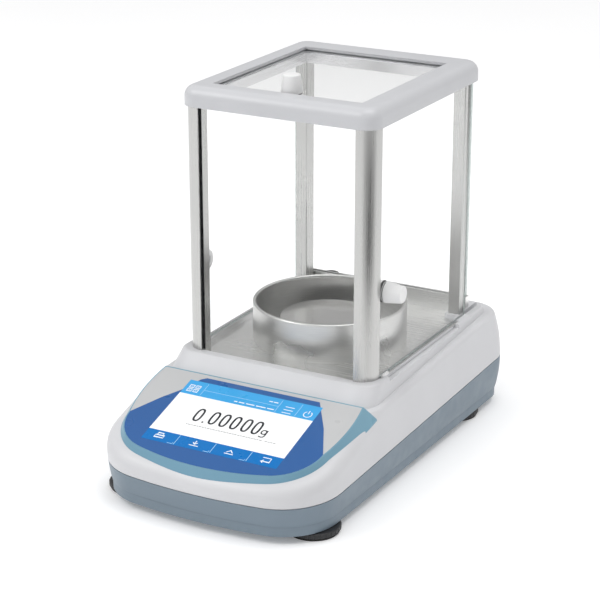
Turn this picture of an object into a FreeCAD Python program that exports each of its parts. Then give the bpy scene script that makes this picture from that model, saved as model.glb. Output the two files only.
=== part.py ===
import FreeCAD, Part
import math
import os
import re

import Sketcher

# Analytical balance with a glass draft shield.
# Frame: +Z up, front faces -Y, origin on the table under the middle of the base. Millimetres.
# Side pieces are made by loops: sign -1 is the left side (-X), sign +1 is the right side (+X).

Vector = FreeCAD.Vector
SIDES = (("left", -1), ("right", 1))
X_AXIS, Y_AXIS, Z_AXIS = Vector(1, 0, 0), Vector(0, 1, 0), Vector(0, 0, 1)

DIMENSIONS = {
    # base outline, drawn in by the wall's draft at each height
    "base_front_half_width": 101.5,
    "base_half_width": 106,
    "base_half_depth": 184,
    "front_arc_radius": 400,
    "front_corner_radius": 50,
    "rear_corner_radius": 30,
    "shell_wall": 3,
    "shelf_round": 5,
    "console_round": 12,
    "seam_groove": 0.7,
    # heights of the base, from the table
    "tray_bottom": 6.5,
    "tray_inset": 4,
    "band_bottom": 15,
    "seam_front_height": 30.1,
    "seam_rear_height": 44.7,
    "shelf_front_height": 74.3,
    "shelf_rear_height": 85,
    "roof_underside": 79.5,
    "deck_height": 89,
    # plinth that carries the weighing chamber
    "plinth_half_width": 90,
    "plinth_front": 57,
    "plinth_rear": 165,
    "plinth_corner_radius": 14,
    "plinth_flare": 5,
    "plinth_front_flare": 19,
    # console: a plane that rises to the back from its lower front edge
    "console_edge_y": -70,
    "console_edge_height": 76.2,
    "console_tilt": 16.2,
    "overlay_thickness": 4.1,
    "overlay_skirt": 6,
    "overlay_wrap": 10,
    "screen_width": 127,
    "screen_length": 84,
    "screen_upper_edge": -12,
    "screen_depth": 6,
    # posts
    "post_inner": 69.7,
    "post_size": 15.3,
    "post_front": 52,
    "rear_post_width": 10.5,
    "rear_post_inner": 68.6,
    "rear_post_depth": 13.5,
    "rear_post_front": 126,
    "post_foot": 82,
    "post_top": 297.5,
    "post_bore": 2,
    # top frame
    "frame_half_width": 86.5,
    "frame_front": 53.5,
    "frame_rear": 148,
    "frame_bottom": 293,
    "frame_top": 309,
    "frame_corner_radius": 14,
    "frame_round": 9,
    "window_half_width": 66,
    "window_front": 34,
    "window_rear": 119,
    # glass
    "pane": 3.2,
    "front_glass_y": -49.6,
    "front_glass_half_width": 73.2,
    "rear_glass_y": 144,
    "rear_glass_half_width": 78,
    "door_inner": 80.5,
    "door_front": -36.4,
    "door_length": 167,
    "door_bottom": 85.4,
    "door_height": 215.2,
    "lid_half_width": 71.8,
    "lid_front": -41.8,
    "lid_length": 168,
    "lid_bottom": 303,
    # door knobs
    "knob_y": -25.5,
    "knob_height": 158,
    "lid_knob_y": -24.5,
    "knob_base_radius": 8.75,
    "knob_end_radius": 7,
    "knob_length": 14.6,
    "grip_length": 6,
    "washer_thickness": 1.2,
    "disc_radius": 9,
    "disc_thickness": 2.6,
    "knob_screw_radius": 2,
    # chamber
    "plate_half_width": 79,
    "plate_top": 84,
    "plate_thickness": 1.2,
    "plate_front": -46,
    "sill_front": 142.2,
    "sill_depth": 6.8,
    "sill_height": 15.5,
    "rail_width": 7.3,
    "rail_height": 4.4,
    "rail_floor": 1.2,
    "rail_inner_wall": 0.8,
    "rail_outer_wall": 2,
    "rail_end": 113,
    "pan_y": 39.8,
    "pan_radius": 40.8,
    "pan_top": 101.8,
    "pan_sheet": 1.2,
    "pan_stem_radius": 4,
    "ring_radius": 63.9,
    "ring_wall": 1.7,
    "ring_height": 33.3,
    "ring_rim": 1.5,
    "stem_hole_radius": 12,
    # feet
    "foot_x": 80.5,
    "front_foot_y": -137,
    "rear_foot_y": 120,
    "foot_radius": 21.5,
    "pad_radius": 20,
    "pad_thickness": 1.8,
    "wheel_thickness": 4.3,
    "stud_radius": 4,
    "stud_length": 26,
    "boss_height": 25,
    # chassis and weighing cell
    "chassis_half_width": 72,
    "chassis_front": -52,
    "chassis_length": 196,
    "chassis_bottom": 13,
    "chassis_thickness": 8,
    "pillar_x": 60,
    "pillar_front": -30,
    "pillar_rear": 118,
    "pillar_radius": 6,
    "cell_width": 40,
    "cell_front": -14,
    "cell_length": 100,
    "cell_height": 36,
    "cell_gap": 4,
    "magnet_radius": 17,
    "magnet_height": 26,
    "weight_x": -35,
    "weight_y": 39.8,
    "weight_radius": 9,
    "fork_top": 41,
    "lifter_travel": 3,
    "screw_radius": 2,
    # electronics
    "board_thickness": 1.6,
    "main_board_width": 116,
    "main_board_length": 84,
    "main_board_front": -150,
    "main_board_height": 20,
    "panel_width": 92,
    "panel_height": 24,
    "panel_bottom": 16,
}


def make_sheet(document):
    """The sheet of driving dimensions; every cell holds a plain number with an alias."""
    sheet = document.addObject("Spreadsheet::Sheet", "dims")
    for row, (alias, number) in enumerate(DIMENSIONS.items(), start=1):
        sheet.set(f"A{row}", alias)
        sheet.set(f"B{row}", str(number))
        sheet.setAlias(f"B{row}", alias)
    document.recompute()
    return sheet


doc = FreeCAD.newDocument("analytical_balance")
dims = make_sheet(doc)
nodes = {}


def size(alias):
    return float(dims.get(alias))


def bound(text):
    """An expression in which each dimension's name points at its cell."""
    def cell(word):
        return "dims." + word.group(0) if word.group(0) in DIMENSIONS else word.group(0)
    return re.sub(r"[a-z][a-z_]+", cell, str(text))


def bind(thing, **expressions):
    for name, text in expressions.items():
        thing.setExpression(name, bound(text))


def put(thing, at, axis=Z_AXIS, turn=0):
    """Places an object: a fixed rotation, and a position bound to the sheet."""
    thing.Placement = FreeCAD.Placement(Vector(0, 0, 0), FreeCAD.Rotation(axis, turn))
    for name, text in zip("xyz", at):
        thing.setExpression(f"Placement.Base.{name}", bound(text))
    return thing


def box(at, length, width, height):
    thing = doc.addObject("Part::Box", "box")
    bind(thing, Length=length, Width=width, Height=height)
    return put(thing, at)


def round_bar(at, radius, height, axis=Z_AXIS, turn=0):
    thing = doc.addObject("Part::Cylinder", "cylinder")
    bind(thing, Radius=radius, Height=height)
    return put(thing, at, axis, turn)


def cone(at, lower, upper, height):
    thing = doc.addObject("Part::Cone", "cone")
    bind(thing, Radius1=lower, Radius2=upper, Height=height)
    return put(thing, at)


def fuse(*things):
    thing = doc.addObject("Part::MultiFuse", "fusion")
    thing.Shapes = list(things)
    return thing


def cut(base, *tools):
    thing = doc.addObject("Part::Cut", "cut")
    thing.Base = base
    thing.Tool = tools[0] if len(tools) == 1 else fuse(*tools)
    return thing


def common(base, tool):
    thing = doc.addObject("Part::Common", "common")
    thing.Base = base
    thing.Tool = tool
    return thing


def group(*things):
    """Separate identical solids kept in one node."""
    thing = doc.addObject("Part::Compound", "group")
    thing.Links = list(things)
    return thing


def feature(shape):
    thing = doc.addObject("Part::Feature", "shape")
    thing.Shape = shape
    thing.Placement = FreeCAD.Placement()
    return thing


def node(label, thing):
    thing.Label = label
    nodes[label] = thing
    return thing


def tilt_to_console(thing):
    """Sets an object made flat, with its origin on the console's upper edge, onto the console plane."""
    put(thing, ("0", "console_edge_y", "console_edge_height"), X_AXIS, size("console_tilt"))
    thing.setExpression("Placement.Rotation.Angle", bound("console_tilt"))
    return thing


def from_middle(sign, start, width):
    """The lower X of a span that starts at a distance from the middle and runs outwards."""
    return start if sign > 0 else f"-({start}) - ({width})"


def plane_of(body, role):
    return next(part for part in body.Origin.OriginFeatures if part.Role == role)


def polygon_sketch(body, role, corners):
    """A closed polygon on an origin plane; each corner's two distances are bound to the sheet."""
    sketch = body.newObject("Sketcher::SketchObject", "profile")
    sketch.AttachmentSupport = (plane_of(body, role), [""])
    sketch.MapMode = "FlatFace"
    count = len(corners)
    for place in range(count):
        start = Vector(10 * place, place * place, 0)
        end = Vector(10 * (place + 1), (place + 1) ** 2, 0)
        sketch.addGeometry(Part.LineSegment(start, end), False)
    for place in range(count):
        joined = (place + 1) % count
        sketch.addConstraint(Sketcher.Constraint("Coincident", place, 2, joined, 1))
    for place, corner in enumerate(corners):
        for kind, text in zip(("DistanceX", "DistanceY"), corner):
            if text == "0":
                axis = -2 if kind == "DistanceX" else -1
                sketch.addConstraint(Sketcher.Constraint("PointOnObject", place, 1, axis))
                continue
            number = sketch.addConstraint(Sketcher.Constraint(kind, -1, 1, place, 1, 1.0))
            sketch.setExpression(f"Constraints[{number}]", bound(text))
    return sketch


def padded_body(role, corners, length):
    body = doc.addObject("PartDesign::Body", "body")
    sketch = polygon_sketch(body, role, corners)
    pad = body.newObject("PartDesign::Pad", "pad")
    pad.Profile = sketch
    bind(pad, Length=length)
    return body


def turned_body(corners):
    """A body turned about Z from a profile whose corners are (radius, height)."""
    body = doc.addObject("PartDesign::Body", "body")
    sketch = polygon_sketch(body, "XZ_Plane", corners)
    turned = body.newObject("PartDesign::Revolution", "turned")
    turned.Profile = sketch
    turned.ReferenceAxis = (sketch, ["V_Axis"])
    turned.Angle = 360
    return body


# ---------------------------------------------------------------- base shells


def outline(inset, height):
    """The base's plan outline, drawn in by an inset: a bowed front, sides that widen to the rear."""
    front_half = size("base_front_half_width") - inset
    half = size("base_half_width") - inset
    front = -size("base_half_depth") + inset
    rear = size("base_half_depth") - inset
    bow = size("front_arc_radius") - inset
    corner = size("front_corner_radius") - inset
    rear_corner = size("rear_corner_radius") - inset
    bow_centre = Vector(0, front + bow, height)
    reach = math.sqrt((bow - corner) ** 2 - (front_half - corner) ** 2)
    corner_centre = Vector(front_half - corner, bow_centre.y - reach, height)
    rear_centre = Vector(half - rear_corner, rear - rear_corner, height)
    side = rear_centre - corner_centre
    bow_angle = math.atan2(corner_centre.y - bow_centre.y, corner_centre.x)
    side_angle = math.atan2(side.y, side.x) - math.acos((corner - rear_corner) / side.Length)

    def mirrored(point):
        return Vector(-point.x, point.y, point.z)

    def around(centre, radius, angle):
        return centre + Vector(math.cos(angle), math.sin(angle), 0) * radius

    bow_end = around(corner_centre, corner, bow_angle)
    corner_middle = around(corner_centre, corner, (bow_angle + side_angle) / 2)
    side_front = around(corner_centre, corner, side_angle)
    side_rear = around(rear_centre, rear_corner, side_angle)
    rear_middle = around(rear_centre, rear_corner, side_angle / 2 + math.pi / 4)
    rear_end = around(rear_centre, rear_corner, math.pi / 2)
    edges = []
    edges.append(Part.Arc(mirrored(bow_end), Vector(0, front, height), bow_end))
    edges.append(Part.Arc(bow_end, corner_middle, side_front))
    edges.append(Part.LineSegment(side_front, side_rear))
    edges.append(Part.Arc(side_rear, rear_middle, rear_end))
    edges.append(Part.LineSegment(rear_end, mirrored(rear_end)))
    edges.append(Part.Arc(mirrored(rear_end), mirrored(rear_middle), mirrored(side_rear)))
    edges.append(Part.LineSegment(mirrored(side_rear), mirrored(side_front)))
    edges.append(Part.Arc(mirrored(side_front), mirrored(corner_middle), mirrored(bow_end)))
    return Part.Wire([edge.toShape() for edge in edges])


def envelope(inset):
    """The bulging wall of the base: drawn in a little at the bottom, and more towards the shelf."""
    low, widest, high, top = size("band_bottom"), 42, 62, size("deck_height") + 3
    sections = ((3.2, low), (0, widest), (1.5, high), (9.5, top))
    return Part.makeLoft([outline(inset + drawn, height) for drawn, height in sections], True, False)


def prism(inset, bottom, top):
    return Part.Face(outline(inset, bottom)).extrude(Vector(0, 0, top - bottom))


def slab_under(points):
    """Everything under a line of (y, z) points, across the whole width."""
    reach = 2 * size("base_half_width")
    corners = [Vector(-reach, y, z) for y, z in points]
    corners.append(Vector(-reach, points[-1][0], 0))
    corners.append(Vector(-reach, points[0][0], 0))
    corners.append(corners[0])
    return Part.Face(Part.makePolygon(corners)).extrude(Vector(2 * reach, 0, 0))


def slope(from_y, from_z, to_y, to_z, y):
    return from_z + (to_z - from_z) * (y - from_y) / (to_y - from_y)


def under_seam(lift=0):
    """Everything under the plane where the two housings meet, which rises to the rear."""
    depth = size("base_half_depth")
    ends = (-depth, size("seam_front_height") + lift, depth, size("seam_rear_height") + lift)
    return slab_under([(y, slope(*ends, y)) for y in (-2 * depth, 2 * depth)])


def top_profile():
    """Height of the base's top along Y, and the Y where the console's plane meets the shelf's."""
    depth = size("base_half_depth")
    edge_y, edge_z = size("console_edge_y"), size("console_edge_height")
    rise = math.tan(math.radians(size("console_tilt")))
    shelf_z = size("shelf_front_height")
    shelf_rise = (size("shelf_rear_height") - shelf_z) / (depth - edge_y)
    fold_y = edge_y - (edge_z - shelf_z) / (rise - shelf_rise)

    def height(y):
        return min(edge_z + rise * (y - edge_y), shelf_z + shelf_rise * (y - edge_y))

    return height, fold_y


def under_shelf_and_console(drop):
    """Everything under the base's two top planes, lowered by a drop."""
    height, fold_y = top_profile()
    reach = 2 * size("base_half_depth")
    return slab_under([(y, height(y) - drop) for y in (-reach, fold_y, reach)])


def rounded_rectangle(half_width, front, rear, corner, height):
    """A closed wire with four round corners."""
    part = solid_box(-half_width, front, height, 2 * half_width, rear - front, 1)
    upright = [edge for edge in part.Edges if abs(edge.tangentAt(edge.FirstParameter).z) > 0.9]
    rounded = part.makeFillet(corner, upright)
    lowest = min(rounded.Faces, key=lambda face: face.CenterOfMass.z)
    return lowest.OuterWire


def solid_box(x, y, z, length, width, height):
    return Part.makeBox(length, width, height, Vector(x, y, z))


def plinth(inset, top):
    half, corner = size("plinth_half_width") - inset, size("plinth_corner_radius")
    front, rear = -size("plinth_front") + inset, size("plinth_rear") - inset
    flare, front_flare = size("plinth_flare"), size("plinth_front_flare")
    foot = 70
    lower = rounded_rectangle(half + flare, front - front_flare, rear + flare, corner + flare, foot)
    upper = rounded_rectangle(half, front, rear, corner, size("deck_height"))
    whole = Part.makeLoft([lower, upper], True, True)
    if top < size("deck_height"):
        return whole.common(solid_box(-200, -300, 0, 400, 600, top))
    rim = [edge for edge in whole.Edges if edge.BoundBox.ZMin > top - 0.01]
    return whole.makeFillet(2.5, rim)


def console_placement():
    start = Vector(0, size("console_edge_y"), size("console_edge_height"))
    return FreeCAD.Placement(start, FreeCAD.Rotation(X_AXIS, size("console_tilt")))


def both_sides(make):
    """A shape on the right side and its mirror image on the left."""
    right = make()
    return [right, right.mirror(Vector(0, 0, 0), X_AXIS)]


def post_shape(extra, bottom, top):
    """A front post's quarter-round section on the right side, grown by a clearance."""
    side, inner, front = size("post_size"), size("post_inner"), -size("post_front")
    block = solid_box(inner - extra, front - extra, bottom, side + 2 * extra, side + 2 * extra, top - bottom)
    round_part = Part.makeCylinder(side + extra, top - bottom, Vector(inner, front + side, bottom))
    back_strip = solid_box(inner - extra, front + side, bottom, side + 2 * extra, extra, top - bottom)
    side_strip = solid_box(inner - extra, front - extra, bottom, extra, side + extra, top - bottom)
    return block.common(round_part).fuse([back_strip, side_strip]).removeSplitter()


def rear_post_shape(extra, bottom, top):
    width, depth = size("rear_post_width") + 2 * extra, size("rear_post_depth") + 2 * extra
    x, y = size("rear_post_inner") - extra, size("rear_post_front") - extra
    return solid_box(x, y, bottom, width, depth, top - bottom)


def post_screw_places():
    """The middle of each right-hand post, front and rear."""
    centre = size("post_size") * 0.42
    front = (size("post_inner") + centre, -size("post_front") + size("post_size") - centre)
    rear_x = size("rear_post_inner") + size("rear_post_width") / 2
    rear_y = size("rear_post_front") + size("rear_post_depth") / 2
    return front, (rear_x, rear_y)


def screw_boss_places():
    return (70, -108), (70, 152)


def chamber_recesses():
    """What is cut out of the plinth's deck: plate recess, rails, door slots, sill and post sockets."""
    deck, floor = size("deck_height"), size("plate_top") - size("plate_thickness")
    half, above = size("plate_half_width") + 0.1, 20
    rear_half, rail_start = size("rear_post_inner") - 2, size("plate_half_width") + 0.1
    sill = (size("sill_front"), size("sill_depth") + 0.2)
    shield_front = size("front_glass_y") - 0.2
    plate_front = size("plate_front") - 0.2
    corner = size("rear_post_front") - 2
    tools = [
        solid_box(-half, plate_front, floor, 2 * half, corner - plate_front, above),
        solid_box(-rear_half, plate_front, floor, 2 * rear_half, sill[0] - plate_front, above),
        solid_box(-half, sill[0], size("plate_top"), 2 * half, sill[1], above),
        solid_box(-size("post_inner"), shield_front, 86, 2 * size("post_inner"), 4, above),
    ]
    rail_width, rail_front = size("rail_width") + 0.2, size("door_front") - 0.2
    slot_x, slot_width = size("door_inner") - 0.4, size("pane") + 0.8
    scoop_x, scoop_low = rail_start + rail_width, deck - 3.5

    def side_tools():
        rail_length = size("rail_end") - rail_front
        rail = solid_box(rail_start, rail_front, size("plate_top"), rail_width, rail_length, above)
        slot = solid_box(slot_x, rail_front, size("plate_top"), slot_width, 300, above)
        scoop_points = ((-33, above + deck), (-29, scoop_low), (104, scoop_low), (112, above + deck))
        corners = [Vector(scoop_x - 0.5, y, z) for y, z in scoop_points]
        scoop = Part.Face(Part.makePolygon(corners + corners[:1])).extrude(Vector(30, 0, 0))
        sockets = [post_shape(0.1, size("post_foot"), deck + above)]
        sockets.append(rear_post_shape(0.1, size("post_foot"), deck + above))
        for x, y in post_screw_places():
            sockets.append(Part.makeCylinder(2.3, 30, Vector(x, y, 60)))
        return rail.fuse([slot, scoop] + sockets)

    tools.extend(both_sides(side_tools))
    tools.append(Part.makeCylinder(size("stem_hole_radius"), 60, Vector(0, size("pan_y"), 60)))
    return tools


def console_window():
    width, length = size("screen_width") + 1, size("screen_length") + 1
    top = size("screen_upper_edge") + 0.5
    window = solid_box(-width / 2, top - length, -20, width, length, 60)
    window.Placement = console_placement()
    return window


def round_top_edge(tier):
    """Rounds the edge where the bulging wall meets the shelf and the console."""
    height, fold_y = top_profile()
    radii = []
    for number, edge in enumerate(tier.Edges, start=1):
        middle = edge.valueAt((edge.FirstParameter + edge.LastParameter) / 2)
        is_fold = edge.BoundBox.XLength > 1 and abs(middle.y - fold_y) < 1
        if abs(middle.z - height(middle.y)) < 0.3 and not is_fold:
            radius = size("shelf_round" if middle.y > fold_y else "console_round")
            radii.append((number, radius, radius))
    rounded = doc.addObject("Part::Fillet", "rounded_tier")
    rounded.Base = feature(tier)
    rounded.Edges = radii
    doc.recompute()
    return rounded.Shape


def base_body():
    """The base's outer shape above the tray, as one solid: walls, shelf, console and plinth."""
    tier = round_top_edge(envelope(0).common(under_shelf_and_console(0)))
    return tier.fuse(plinth(0, size("deck_height")))


def screw_bosses(radius, bottom, height):
    places = screw_boss_places()
    return Part.Compound([Part.makeCylinder(radius, height, Vector(x, y, bottom)) for x, y in places])


def make_upper_housing(outside):
    """White cover whose inner corner is stepped, so that it stays behind the rounded top edge."""
    wall, groove = size("shell_wall"), size("seam_groove")
    outer = outside.cut([under_seam(), under_seam(groove).cut(envelope(groove))])
    step = wall + size("console_round") / 3
    wide_room = envelope(wall).common(under_shelf_and_console(step))
    tall_room = envelope(step).common(under_shelf_and_console(wall))
    room = wide_room.fuse([tall_room, plinth(wall, size("roof_underside"))])
    inside = room.cut(under_seam())
    bosses = [boss.common(inside) for boss in both_sides(lambda: screw_bosses(5, 30, 60))]
    pilots = both_sides(lambda: screw_bosses(2, 22, 36))
    shell = outer.cut(room).fuse(bosses)
    return shell.cut(chamber_recesses() + [console_window()] + pilots)


def foot_places():
    return (size("foot_x"), size("front_foot_y")), (size("foot_x"), size("rear_foot_y"))


def rear_opening():
    """The window in the lower housing's rear wall that the connector panel fills."""
    width, height = size("panel_width"), size("panel_height")
    return solid_box(-width / 2, 150, size("panel_bottom"), width, 60, height)


def make_lower_housing():
    """Blue-grey tray: a band that meets the white cover, a set-in floor, foot bosses and screw pillars."""
    wall, bottom, band = size("shell_wall"), size("tray_bottom"), size("band_bottom")
    outer = envelope(0).common(under_seam()).fuse(prism(size("tray_inset"), bottom, band))
    inner = envelope(wall).fuse(prism(size("tray_inset") + wall, bottom + wall, band))
    shell = outer.cut(inner)
    stud = size("stud_radius") + 0.06

    def bosses():
        solids = [screw_bosses(6, bottom, 60)]
        for x, y in foot_places():
            solids.append(Part.makeCylinder(stud + 4, size("boss_height"), Vector(x, y, bottom)))
        return solids[0].fuse(solids[1:])

    keep = prism(size("tray_inset"), bottom, band).fuse(envelope(1).common(under_seam()))
    shell = shell.fuse([boss.common(keep) for boss in both_sides(bosses)])

    def holes():
        solids = [screw_bosses(2.2, 0, 60), screw_bosses(4.2, bottom, 11)]
        for x, y in foot_places():
            solids.append(Part.makeCylinder(stud, 60, Vector(x, y, 0)))
        return solids[0].fuse(solids[1:])

    shell = shell.cut(both_sides(holes) + [rear_opening()])
    standoff = size("main_board_height") - bottom - 1

    def standoffs():
        solids = []
        for y in (-146, -72):
            solids.append(Part.makeCylinder(3.5, standoff, Vector(50, y, bottom + 1)))
        for x, y in ((62, -44), (62, 138)):
            rise = size("chassis_bottom") - bottom - 1
            solids.append(Part.makeCylinder(6, rise, Vector(x, y, bottom + 1)))
        return solids[0].fuse(solids[1:])

    return shell.fuse(both_sides(standoffs))


def add_base_shells(outside):
    node("lower_housing", feature(make_lower_housing()))
    node("upper_housing", feature(make_upper_housing(outside)))


# ---------------------------------------------------------------- console


def overlay_outline(height, corner, side, shoulder, turn, foot, lowest):
    """The console panel at one height: a straight upper edge, bowed sides and a round lower edge."""
    def right(place):
        return Vector(place[0], place[1], height)

    def left(place):
        return Vector(-place[0], place[1], height)

    curves = (
        Part.LineSegment(left(corner), right(corner)),
        Part.Arc(right(corner), right(side), right(shoulder)),
        Part.Arc(right(shoulder), right(turn), right(foot)),
        Part.Arc(right(foot), right(lowest), left(foot)),
        Part.Arc(left(foot), left(turn), left(shoulder)),
        Part.Arc(left(shoulder), left(side), left(corner)),
    )
    return Part.Wire([curve.toShape() for curve in curves])


def make_overlay(outside):
    """Panel with a steep flank that comes down over the base's rounded edge and ends flush with its wall."""
    top, skirt, wrap = size("overlay_thickness"), size("overlay_skirt"), size("overlay_wrap")
    sections = [
        overlay_outline(-wrap, (100, -1), (99.5, -30), (96.5, -65), (86, -92), (57, -113.5), (0, -121)),
        overlay_outline(-skirt, (99.5, -1.5), (99, -30), (95.5, -64), (85, -91), (56, -112.5), (0, -120)),
        overlay_outline(top, (90.5, -3), (92.5, -30), (87.5, -65), (78.5, -87.5), (56, -101), (0, -108.5)),
    ]
    block = Part.makeLoft(sections, True, True)
    block.Placement = console_placement()
    panel = block.cut(outside).common(envelope(-0.3))
    return max(panel.Solids, key=lambda solid: solid.Volume)


def add_console(outside):
    """Panel over the touch screen, the screen's module and the display board behind it."""
    node("console_overlay", feature(make_overlay(outside)))
    frame = box(("-screen_width / 2", "screen_upper_edge - screen_length", "-screen_depth"),
                "screen_width", "screen_length", "screen_depth")
    spacers = []
    for x in ("-screen_width / 2 + 12", "screen_width / 2 - 12"):
        for y in ("screen_upper_edge - 12", "screen_upper_edge - screen_length + 12"):
            spacers.append(round_bar((x, y, "-screen_depth - 4"), "2.5", "4.5"))
    node("lcd_module", tilt_to_console(fuse(frame, *spacers)))
    board = box(("-55", "screen_upper_edge - 80", "-screen_depth - 4 - board_thickness"),
                "110", "76", "board_thickness")
    driver = box(("-14", "screen_upper_edge - 52", "-screen_depth - 6 - board_thickness"), "28", "28", "2.4")
    plug = box(("20", "screen_upper_edge - 74", "-screen_depth - 9 - board_thickness"), "24", "7", "5.2")
    node("display_board", tilt_to_console(fuse(board, driver, plug)))


# ---------------------------------------------------------------- weighing chamber


def add_floor():
    """Stainless floor plate with the pan's opening, and the bar that carries the rear glass."""
    main = box(("-plate_half_width", "plate_front", "plate_top - plate_thickness"),
               "2 * plate_half_width", "rear_post_front - 2.2 - plate_front", "plate_thickness")
    tail = box(("-rear_post_inner + 2.2", "plate_front", "plate_top - plate_thickness"),
               "2 * rear_post_inner - 4.4", "sill_front - plate_front", "plate_thickness")
    cuts = [round_bar(("0", "pan_y", "plate_top - 10"), "stem_hole_radius", "20")]
    for sign in (-1, 1):
        notch_x = from_middle(sign, "post_inner - 0.3", "20")
        cuts.append(box((notch_x, "-post_front", "plate_top - 5"), "20", "post_size + 0.3", "10"))
    node("chamber_floor_plate", cut(fuse(main, tail), *cuts))
    bar = box(("-plate_half_width", "sill_front", "plate_top"),
              "2 * plate_half_width", "sill_depth", "sill_height")
    groove = box(("-rear_glass_half_width - 0.1", "rear_glass_y - 0.1", "plate_top + sill_height - 6"),
                 "2 * rear_glass_half_width + 0.2", "pane + 0.2", "10")
    node("rear_sill", cut(bar, groove))


def add_rails_and_clips():
    """U-shaped aluminium rails under the side doors, and a white clip on each rail's outer wall."""
    clips = []
    for side, sign in SIDES:
        wall = "rail_width - rail_outer_wall"
        profile = (("0", "0"), ("rail_width", "0"), ("rail_width", "rail_height"), (wall, "rail_height"),
                   (wall, "rail_floor"), ("rail_inner_wall", "rail_floor"),
                   ("rail_inner_wall", "rail_height"), ("0", "rail_height"))
        rail = padded_body("XZ_Plane", profile, "rail_end - door_front")
        start = "plate_half_width + 0.2"
        if sign > 0:
            put(rail, (start, "rail_end", "plate_top"))
        else:
            put(rail, (f"-({start})", "door_front", "plate_top"), Z_AXIS, 180)
        node(f"{side}_door_rail", rail)
        on_wall = "plate_half_width + rail_width - rail_outer_wall + 0.2"
        clip_at = (from_middle(sign, on_wall, "rail_outer_wall"), "door_front + 4", "plate_top + rail_height")
        clips.append(box(clip_at, "rail_outer_wall", "10", "1.8"))
    node("rail_clips", group(*clips))


def add_posts():
    """Four extrusions: quarter-round at the front with a glass slot, rectangular at the rear."""
    for side, sign in SIDES:
        inner = from_middle(sign, "post_inner", "post_size")
        middle = f"{sign} * post_inner"
        height = "post_top - post_foot"
        block = box((inner, "-post_front", "post_foot"), "post_size", "post_size", height)
        barrel = round_bar((middle, "post_size - post_front", "post_foot"), "post_size", height)
        slot = box((from_middle(sign, "post_inner - 1", "5.2"), "front_glass_y - 0.7", "post_foot - 1"),
                   "5.2", "pane + 1.4", "post_top - post_foot + 2")
        bore_x = f"{sign} * (post_inner + post_size * 0.42)"
        bore = round_bar((bore_x, "post_size * 0.58 - post_front", "post_foot - 1"), "post_bore", "24")
        node(f"front_{side}_post", cut(common(block, barrel), slot, bore))
        rear = box((from_middle(sign, "rear_post_inner", "rear_post_width"), "rear_post_front", "post_foot"),
                   "rear_post_width", "rear_post_depth", height)
        rear_x = f"{sign} * (rear_post_inner + rear_post_width / 2)"
        rear_bore = round_bar((rear_x, "rear_post_front + rear_post_depth / 2", "post_foot - 1"),
                              "post_bore", "24")
        node(f"rear_{side}_post", cut(rear, rear_bore))


def make_top_frame():
    """White frame over the posts: a rounded ring with the lid's groove and slots for posts and glass."""
    half, front, rear = size("frame_half_width"), -size("frame_front"), size("frame_rear")
    bottom, top = size("frame_bottom"), size("frame_top")
    block = solid_box(-half, front, bottom, 2 * half, rear - front, top - bottom)
    upright = [edge for edge in block.Edges if edge.BoundBox.ZLength > 1]
    block = block.makeFillet(size("frame_corner_radius"), upright)
    rim = [edge for edge in block.Edges if edge.BoundBox.ZMin > top - 0.01]
    block = block.makeFillet(size("frame_round"), rim)
    opening = size("window_half_width")
    window = solid_box(-opening, -size("window_front"), 0, 2 * opening,
                       size("window_front") + size("window_rear"), 400)
    lid_x, lid_y = size("lid_half_width") + 0.4, size("lid_front") - 0.4
    groove = solid_box(-lid_x, lid_y, size("lid_bottom") - 0.4, 2 * lid_x, 300, size("pane") + 0.8)
    shield_half = size("front_glass_half_width") + 0.2
    shield = solid_box(-shield_half, size("front_glass_y") - 0.2, 0,
                       2 * shield_half, size("pane") + 0.4, size("post_top") + 0.2)
    rear_half = size("rear_glass_half_width") + 0.2
    rear_slot = solid_box(-rear_half, size("rear_glass_y") - 0.2, 0,
                          2 * rear_half, size("pane") + 0.4, size("post_top") + 0.2)

    def side_slots():
        door_x, door_y = size("door_inner") - 0.4, size("door_front") - 0.3
        slot = solid_box(door_x, door_y, 0, size("pane") + 0.8, 300,
                         size("door_bottom") + size("door_height") + 0.5)
        sockets = [post_shape(0.1, 0, size("post_top")), rear_post_shape(0.1, 0, size("post_top"))]
        return slot.fuse(sockets)

    return block.cut([window, groove, shield, rear_slot] + both_sides(side_slots))


def add_shield():
    """Top frame, fixed front and rear glass, and the strips that seal the front glass in its posts."""
    node("top_frame", feature(make_top_frame()))
    front = box(("-front_glass_half_width", "front_glass_y", "86"),
                "2 * front_glass_half_width", "pane", "post_top - 86")
    node("front_glass", front)
    rear = box(("-rear_glass_half_width", "rear_glass_y", "plate_top + sill_height - 6"),
               "2 * rear_glass_half_width", "pane", "post_top - plate_top - sill_height + 6")
    node("rear_glass", rear)
    strips = []
    for side, sign in SIDES:
        outer = box((from_middle(sign, "post_inner - 0.6", "4.6"), "front_glass_y - 0.6", "deck_height"),
                    "4.6", "pane + 1.2", "frame_bottom - deck_height")
        inner = box((from_middle(sign, "post_inner - 2", "2 + front_glass_half_width - post_inner"),
                     "front_glass_y", "deck_height - 1"),
                    "2 + front_glass_half_width - post_inner", "pane", "frame_bottom - deck_height + 2")
        strips.append(cut(outer, inner))
    node("front_glass_seals", group(*strips))


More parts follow.
